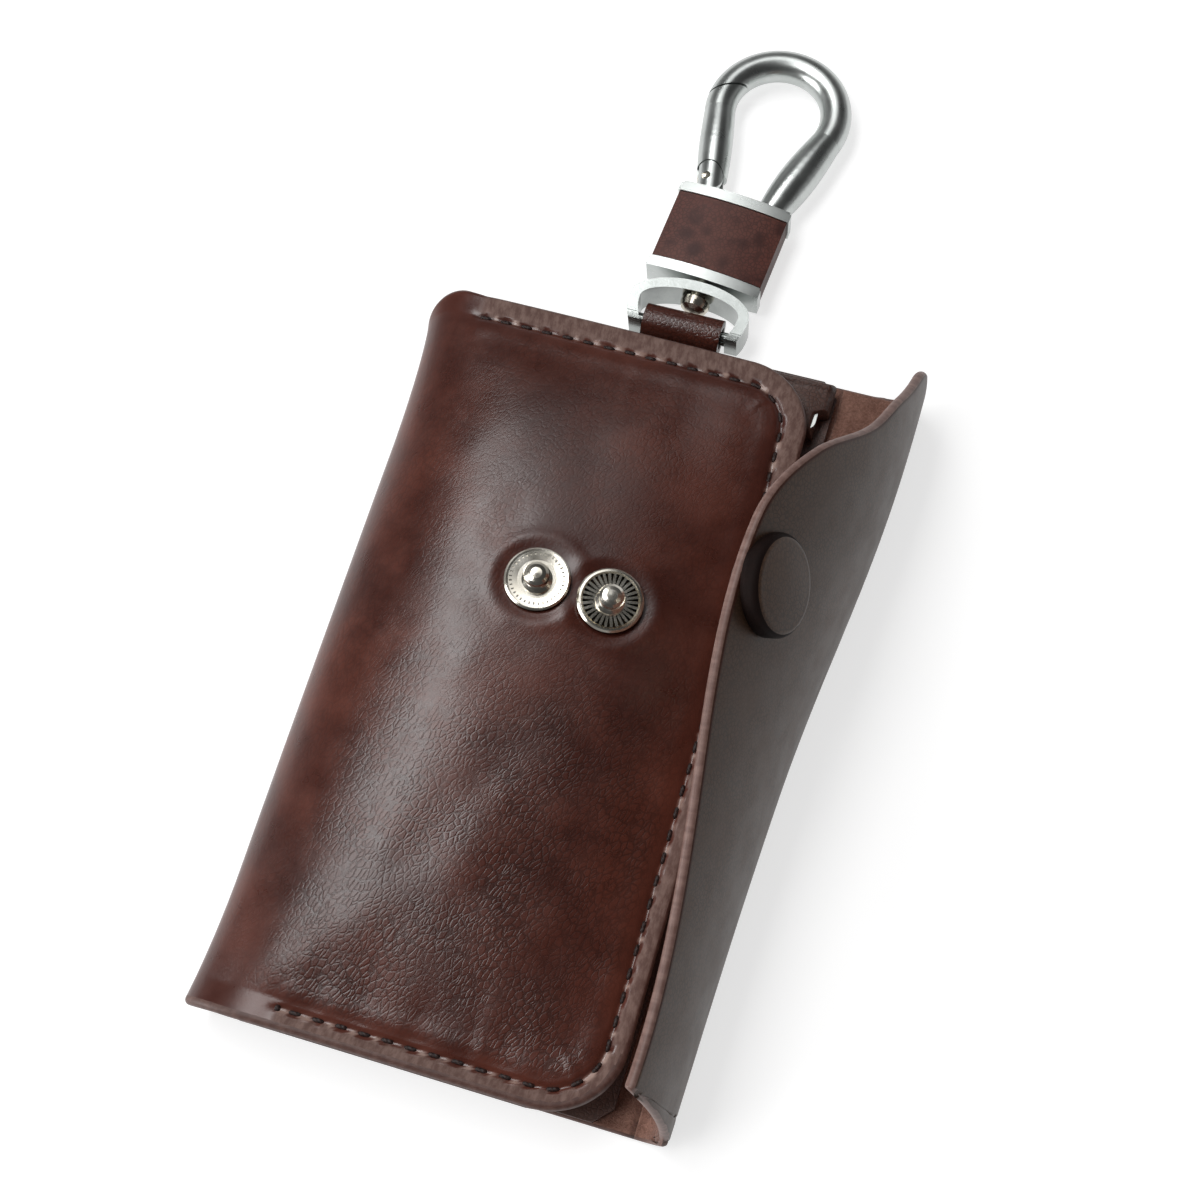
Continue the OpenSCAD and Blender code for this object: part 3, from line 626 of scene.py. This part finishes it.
def front_piece():
    """The front panel with the upper spine, and the attributes that its material reads."""
    x, y, z, u = front_grid()
    face = np.stack([x, y, z], -1)
    d = np.where(x > FOLD_X, edge_distance(x, y), np.minimum(y[-1] - y, y - y[0]))
    run = seam_run_at(x, y)
    out = d - inset(y)
    inside = smooth((x - np.where(y > 0, SEAM_TOP, SEAM_LOW) + 1.0) / 2.5)
    inside = np.maximum(inside, np.where(x > RIGHT_X - 12, 1, 0))
    phase = 2 * math.pi * (run / STITCH)
    wobble = 0.28 * np.cos(phase) + 0.16 * hash_noise(run * 0.9, run * 0 + 3, 2)
    lift = front_relief(x, y, out, run, phase, wobble, inside)
    face = face + grid_normals(face) * lift[..., None]

    ragged = wobble + 0.9 * hash_noise(run * 1.7, d * 0.9, 7) + 0.5 * hash_noise(run * 4.1, d * 2.2, 8)
    border = smooth((0.42 * ragged - 0.35 - out) / 0.3) * inside
    # Painted highlight: pale glints on the leather between the stitches, just beside the seam
    glint = np.exp(-((out + 0.25) / 0.3) ** 2) * smooth((np.cos(phase) - 0.35) / 0.5)
    glint = glint * inside * smooth((hash_noise(run * 0.8, run * 0, 12) + 0.7) / 0.8)
    # How deep the grain's creases and folds are, for their bump and for their painted shade; stronger
    # towards the lower left
    creased = smooth((10 - y) / 30) * smooth((x + 26) / 12)
    crease = np.clip(0.45 + 0.5 * creased + 0.15 * hash_noise(x * 0.07, y * 0.06, 6), 0, 1)
    crease = crease * smooth(out / 3)
    bead = 0.41 + 0.75 * smooth((FRONT_LO + 14 - y) / 6)

    ob = slab("front_leather", face, grid_normals(face), np.minimum(d, 40), np.stack([u, y, 0 * u], -1),
              border, [FRONT, SUEDE, EDGE], bead=bead, sharp_start=True)
    for name, values in (("crease", crease), ("glint", glint)):
        put_attribute(ob, name, np.concatenate([values.reshape(-1)] * 2))
    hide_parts("front_panel", "spine_leather")
    return ob, face, y[:, -1]


front, FRONT_FACE, FRONT_ROWS = front_piece()


def front_height(x, y):
    """Height of the dressed front's face above a point, between the two nearest stations."""
    at = float(np.interp(y, FRONT_ROWS, np.arange(len(FRONT_ROWS))))
    i = min(int(at), len(FRONT_ROWS) - 2)
    low, high = [float(np.interp(x, FRONT_FACE[k, :, 0], FRONT_FACE[k, :, 2])) for k in (i, i + 1)]
    return lerp(low, high, at - i)


def stitches():
    """Thread in the seam: a short rounded length per stitch, dipping into the leather at both ends.

    The last one is a short dark lump of thread at the seam's lower end, which stands for the shade in the
    hole there.
    """
    verts, faces = [], []
    sides, rings = 8, 7
    # The last entry is the dark lump that paints the shade of the seam's end hole
    for mid in [*STITCHES, SEAM_RUN[-1]]:
        seam_end_hole = mid == SEAM_RUN[-1]
        half, thick = (0.45, 0.5) if seam_end_hole else (STITCH * 0.31, 0.34)
        run = np.linspace(mid - half, mid + half, rings) - (0.5 if seam_end_hole else 0)
        px = np.interp(run, SEAM_RUN, SEAM_PTS[:, 0])
        py = np.interp(run, SEAM_RUN, SEAM_PTS[:, 1])
        side = rng.uniform(-0.08, 0.08)
        base = len(verts)
        for j in range(rings):
            t = 2 * j / (rings - 1) - 1
            z = front_height(px[j], py[j]) + 0.08 - 0.36 * t ** 4
            after, before = min(j + 1, rings - 1), max(j - 1, 0)
            along = np.array([px[after] - px[before], py[after] - py[before], 0])
            along /= np.linalg.norm(along)
            across = np.array([-along[1], along[0], 0])
            centre = np.array([px[j], py[j], z]) + across * side
            r = thick * math.sqrt(max(0.05, 1 - 0.85 * t ** 4))
            for i in range(sides):
                w = 2 * math.pi * i / sides
                rise = np.array([0, 0, r * 0.8 * math.sin(w)])
                verts.append(centre + across * r * math.cos(w) + rise)
        faces += tube_faces(base, rings, sides)
    ob = new_mesh("seam_thread", verts, faces, [THREAD])
    return ob


seam_thread = stitches()

# ---------------------------------------------------------------- back panel and lower spine


def lower_spine(y, t):
    """The spine's lower quarter at stations y, from the back at t = 0 to the left at a right angle."""
    _, left, mid = spine_oval(y)
    x = BACK_X - (BACK_X - left) * np.sin(t)
    place = lerp(y, front_y(y), t / math.pi) - spine_cut(x, y)
    return x, place, mid * (1 - np.cos(t))


def back_piece():
    """The back panel with the lower spine."""
    ys = (fine_steps(2 * HALF, 4.0, 0.5, 1.6, True) - HALF)[:, None]
    round_x, round_y, round_z = lower_spine(ys, np.linspace(math.pi / 2, 0, 26)[None, :])
    flat_x = np.linspace(BACK_X, FLAP_X, 46)[None, 1:] + 0 * ys
    x = np.concatenate([round_x, flat_x], 1)
    y = np.concatenate([round_y, ys + 0 * flat_x], 1)
    z = np.concatenate([round_z, 0 * flat_x], 1)
    face = np.stack([x, y, z], -1)[:, ::-1]
    d = np.minimum(y.max(0) - y, y - y.min(0))[:, ::-1]
    steps = np.linalg.norm(np.diff(face, axis=1), axis=2)
    run = np.concatenate([0 * ys, np.cumsum(steps, axis=1)], 1)
    flat = np.stack([run, face[..., 1], 0 * run + 0.05], -1)
    ob = slab("back_leather", face, grid_normals(face), d, flat, 0 * d, [HIDE, SUEDE, EDGE])
    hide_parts("back_panel")
    return ob


back = back_piece()


def spine_lining():
    """The thin lining of the spine, cut back with it at the corner."""
    ys = np.linspace(-HALF + 0.4, HALF - 0.4, 70)
    rows = []
    for y in ys:
        high = front_path(y)[:3]
        low = lower_spine(y, np.linspace(0.04, math.pi / 2, 24)[:-1])
        keep = high[0] < FOLD_X + 0.3
        line = [np.concatenate([a, b[keep]]) for a, b in zip(low, high)]
        run = np.concatenate([[0], np.cumsum(np.hypot(np.diff(line[0]), np.diff(line[2])))])
        rows.append([np.interp(np.linspace(0, run[-1], 40), run, v) for v in line])
    face = np.transpose(np.array(rows), (0, 2, 1))
    normal = grid_normals(face)
    face = face - normal * (LEATHER + 0.05)
    d = np.minimum(face[-1, :, 1] - face[..., 1], face[..., 1] - face[0, :, 1])
    ob = slab("spine_lining_skin", face, normal, d, face, 0 * d, [LINING] * 3, thick=1.0, round_r=0.4)
    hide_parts("spine_lining")
    return ob


spine_inner = spine_lining()

# ---------------------------------------------------------------- flap


def flap_piece():
    """The flap with the fold that it bends in."""
    ys = fine_steps(2 * HALF, 7.0, 0.3, 0.8, True) - HALF
    eps = 0.01
    ahead, behind = np.minimum(ys + eps, HALF), np.maximum(ys - eps, -HALF)
    slope = np.clip((flap_free(ahead) - flap_free(behind)) / (2 * eps), -12, 12)
    stretch = np.sqrt(1 + slope ** 2)
    rim = np.array([2.0, 1.5, 1.1, 0.8, 0.58, 0.4, 0.24, 0.12, 0.04, 0])
    rows = []
    for total, k in zip(flap_free(ys), stretch):
        near = total - rim * min(k, 0.5 * total / rim[0])
        rows.append(np.concatenate([np.linspace(0, near[0], 64, endpoint=False), near]))
    s = np.array(rows)
    y = ys[:, None] + 0 * s
    to_edge = (flap_free(ys)[:, None] - s) / stretch[:, None]
    # The cut's own distance goes on past its end, so that the rounding runs out evenly there
    to_cut = (flap_cut(y) - s) / math.hypot(1, CUT_RISE) + 0.6 * smooth((FLAP_LEAST - s) / 2)
    d = np.minimum(np.minimum(to_edge, HALF - np.abs(y)), to_cut)
    x, z = flap_at(s, y)
    mid = np.stack([x, y, z], -1)
    normal = -grid_normals(mid)
    wave = 0.05 * hash_noise(s * 0.07, y * 0.045, 11) * smooth((s - 12) / 12)
    face = mid + normal * (LEATHER / 2 + wave)[..., None]
    flat = np.stack([s, y, 0 * s + 0.1], -1)
    line = np.exp(-((to_edge - 0.62) / 0.16) ** 2) * smooth((y + 52) / 4)
    ob = slab("flap_leather_skin", *[g[:, ::-1] for g in (face, normal, d, flat, line)],
              [FLAP, SUEDE, FLAP_EDGE])
    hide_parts("flap_leather", "flap_fold")
    return ob


flap = flap_piece()


def cap_piece():
    """The snap's cap: a low dome with a rounded shoulder, pressed into the flap's outer face."""
    x, z = [float(v) for v in flap_at(SNAP_S, SNAP_Y)]
    bent = float(flap_flat(SNAP_Y)) + float(flap_bend(SNAP_Y)) * math.pi / 2
    turn = math.pi / 2 + (SNAP_S - bent) / FLAP_LEAN
    mid, out = np.array([x, SNAP_Y, z]), np.array([math.sin(turn), 0, -math.cos(turn)])
    along = np.array([0.0, 1.0, 0.0])
    side = np.cross(along, out)
    # Its section: the dome, the shoulder and the wall, as radius and height
    dome_r, dome_h, cap_r = 5.5, 3.35, 6.75
    t = np.linspace(0, math.pi / 2, 12)[1:]
    dome = np.linspace(0.3, dome_r, 9)
    r = np.concatenate([dome, dome_r + (cap_r - dome_r) * np.sin(t), [cap_r, cap_r]])
    h = np.concatenate([dome_h - 0.35 * (dome / dome_r) ** 2, 1.9 + 1.1 * np.cos(t), [1.2, 0.5]])
    count = 96
    w = np.linspace(0, 2 * math.pi, count, endpoint=False)
    ring = side * np.cos(w)[:, None] + along * np.sin(w)[:, None]
    verts = [mid + out * dome_h] + [v for ri, hi in zip(r, h) for v in mid + ring * ri + out * hi]
    faces = [(0, 1 + i, 1 + (i + 1) % count) for i in range(count)]
    for j in range(len(r) - 1):
        for i in range(count):
            a, b = 1 + j * count + i, 1 + j * count + (i + 1) % count
            faces.append((a, a + count, b + count, b))
    faces.append(tuple(1 + (len(r) - 1) * count + i for i in range(count))[::-1])
    # The dome takes the flap's leather; the shoulder's underside and the wall take the near-black painted
    # shade
    kinds = [0] * count + [1 if hi < 2.75 else 0 for hi in h[1:] for _ in range(count)] + [1]
    ob = new_mesh("snap_cap_skin", verts, faces, [FLAP, CAP_WALL_SHADE], kinds)
    put_attribute(ob, "border", np.zeros(len(verts)))
    put_attribute(ob, "flat", np.array(verts) * MM)
    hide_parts("snap_cap")
    return ob


cap = cap_piece()


def bar_cover():
    """Turned edge of the lining, which covers the end of the key bar at the corner that shows."""
    left, right, high, base = 16.5, 29.8, 56.0, 3.1
    x0 = np.linspace(left, right, 110)[None, :]
    low = lerp(52.5, 46.8, smooth((x0 - 22.6) / 1.6))
    y = lerp(low, high, np.linspace(0, 1, 90)[:, None])
    x = x0 - smooth((x0 - 25.5) / 4) * 1.6 * (1 - smooth((y - 50.0) / 1.2))
    to_edge = np.minimum(np.minimum(y - low, high - y), np.minimum(x0 - left, right - x0))
    knob = np.exp(-(((x - 25.8) / 2.7) ** 2 + ((y - 51.2) / 2.7) ** 2))
    ridge = np.exp(-((y - 54.9) / 0.7) ** 2)
    top = 5.8 + 0.65 * knob + 0.5 * ridge
    z = base + (top - base) * np.sqrt(1 - (1 - np.clip(to_edge / 1.1, 0, 1)) ** 2)
    face = np.stack([x, y, z], -1)
    ob = slab("bar_cover", face, grid_normals(face), 0 * y + 9, face, 0 * y, [LINING] * 3, thick=0.7)
    return ob


cover = bar_cover()

# ---------------------------------------------------------------- bodies
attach(cap, "flap")
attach(cover, "back")
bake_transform(front)
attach(seam_thread, "front")
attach(spine_inner, "spine")
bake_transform(back)
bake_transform(flap)

# ---------------------------------------------------------------- camera, light, floor
# The photograph's view: the point looked at, the direction to the eye, roll, distance and focal length
VIEW = [5.078, 13.482, 0.147, -0.309, 0.304, 272.6, 1872.8]
PIXELS, SENSOR = 1200, 36


def make_camera(tx, ty, a, b, roll, dist, focal):
    """Camera from mm, the roll in radians and the focal length in pixels of the photograph."""
    c = Vector((a, b, math.sqrt(1 - a * a - b * b)))
    eye = Vector((tx, ty, 5.0)) + dist * c
    right = (-c).cross(Vector((0, 1, 0))).normalized()
    up = right.cross(-c)
    r2 = math.cos(roll) * right + math.sin(roll) * up
    u2 = -math.sin(roll) * right + math.cos(roll) * up
    cam = bpy.data.cameras.new("camera")
    cam.sensor_width = SENSOR
    cam.lens = focal / PIXELS * SENSOR
    cam.clip_start, cam.clip_end = 0.01, 10
    ob = bpy.data.objects.new("camera", cam)
    m = Matrix((r2, u2, c)).transposed().to_4x4()
    m.translation = eye * MM
    ob.matrix_world = m
    bpy.context.scene.collection.objects.link(ob)
    bpy.context.scene.camera = ob


make_camera(*VIEW)


def area_light(name, direction, dist, size, power, size_y=None):
    """Lamp in a direction from the case, turned towards it, with size_y along the case."""
    light = bpy.data.lights.new(name, "AREA")
    light.shape = "RECTANGLE"
    light.size, light.size_y = size, size_y or size
    light.energy = power
    ob = bpy.data.objects.new(name, light)
    d = Vector(direction).normalized()
    ob.location = Vector((0.0, 0.02, 0.0)) + d * dist
    side = d.cross(Vector((0, -1, 0)))
    turn = Matrix((side.normalized(), d.cross(side).normalized(), d)).transposed()
    ob.rotation_mode = "QUATERNION"
    ob.rotation_quaternion = turn.to_quaternion()
    bpy.context.scene.collection.objects.link(ob)


area_light("key", (-0.37, 0.12, 0.92), 1.2, 0.38, 8.8, 1.0)
area_light("fill", (-0.85, -0.50, 0.25), 1.2, 0.8, 10.0)


def studio():
    """World: white where the camera looks, and for the object a pale horizon with one softbox above."""
    world = bpy.data.worlds.new("studio")
    bpy.context.scene.world = world
    world.use_nodes = True
    tree = world.node_tree
    tree.nodes.clear()

    def add(kind, **props):
        node = tree.nodes.new("ShaderNode" + kind)
        for key, value in props.items():
            setattr(node, key, value)
        return node

    def toward(direction, ramp):
        """Brightness by the angle to a direction: from, to, value there, value at its middle."""
        dot = add("VectorMath", operation="DOT_PRODUCT")
        dot.inputs[1].default_value = Vector(direction).normalized()
        tree.links.new(coord.outputs[0], dot.inputs[0])
        fall = add("MapRange", interpolation_type="SMOOTHSTEP")
        for i, value in enumerate(ramp):
            fall.inputs[i + 1].default_value = value
        tree.links.new(dot.outputs["Value"], fall.inputs[0])
        return fall.outputs[0]

    coord = add("TexCoord")
    both = add("Math", operation="ADD")
    tree.links.new(toward((0, 0, 1), (0.22, 0.5, 0.40, 0.07)), both.inputs[0])
    tree.links.new(toward((-0.135, 0.49, 0.858), (0.96, 0.988, 0.0, 1.8)), both.inputs[1])
    lit, shown, mixer = add("Background"), add("Background"), add("MixShader")
    shown.inputs[0].default_value = (1, 1, 1, 1)
    tree.links.new(both.outputs[0], lit.inputs[1])
    tree.links.new(add("LightPath").outputs["Is Camera Ray"], mixer.inputs[0])
    tree.links.new(lit.outputs[0], mixer.inputs[1])
    tree.links.new(shown.outputs[0], mixer.inputs[2])
    tree.links.new(mixer.outputs[0], add("OutputWorld").inputs[0])


studio()


def floor_material():
    """Pale floor that the camera and the metal see as white paper, with the object's shadow on it."""
    m = Nodes("floor")
    speck = m.noise(m.place(False), 30, 2.0)
    m.set(Base_Color=m.mix(speck, (0.84, 0.84, 0.84, 1), (0.88, 0.88, 0.88, 1)), Roughness=0.8)
    rays = m.add("LightPath").outputs
    seen = m.math("ADD", rays["Is Camera Ray"], rays["Is Glossy Ray"], clamp=True)
    seen = m.math("ADD", seen, rays["Is Transmission Ray"], clamp=True)
    white = m.add("Emission", {"Strength": 0.70})
    grey = m.add("BsdfDiffuse", {"Color": (0.5, 0.5, 0.5, 1)})
    paper = m.add("AddShader", {0: white, 1: grey})
    both = m.add("MixShader", {0: seen, 1: m.shader, 2: paper})
    m.feed(m.tree.nodes["Material Output"].inputs[0], both)
    return m.mat


FLOOR, FLOOR_Z = 4000, -0.05
floor_corners = [(x * FLOOR, y * FLOOR, FLOOR_Z) for x, y in ((-1, -1), (1, -1), (1, 1), (-1, 1))]
floor = new_mesh("floor", floor_corners, [(0, 1, 2, 3)], [floor_material()])

bpy.context.scene.view_settings.view_transform = "Standard"
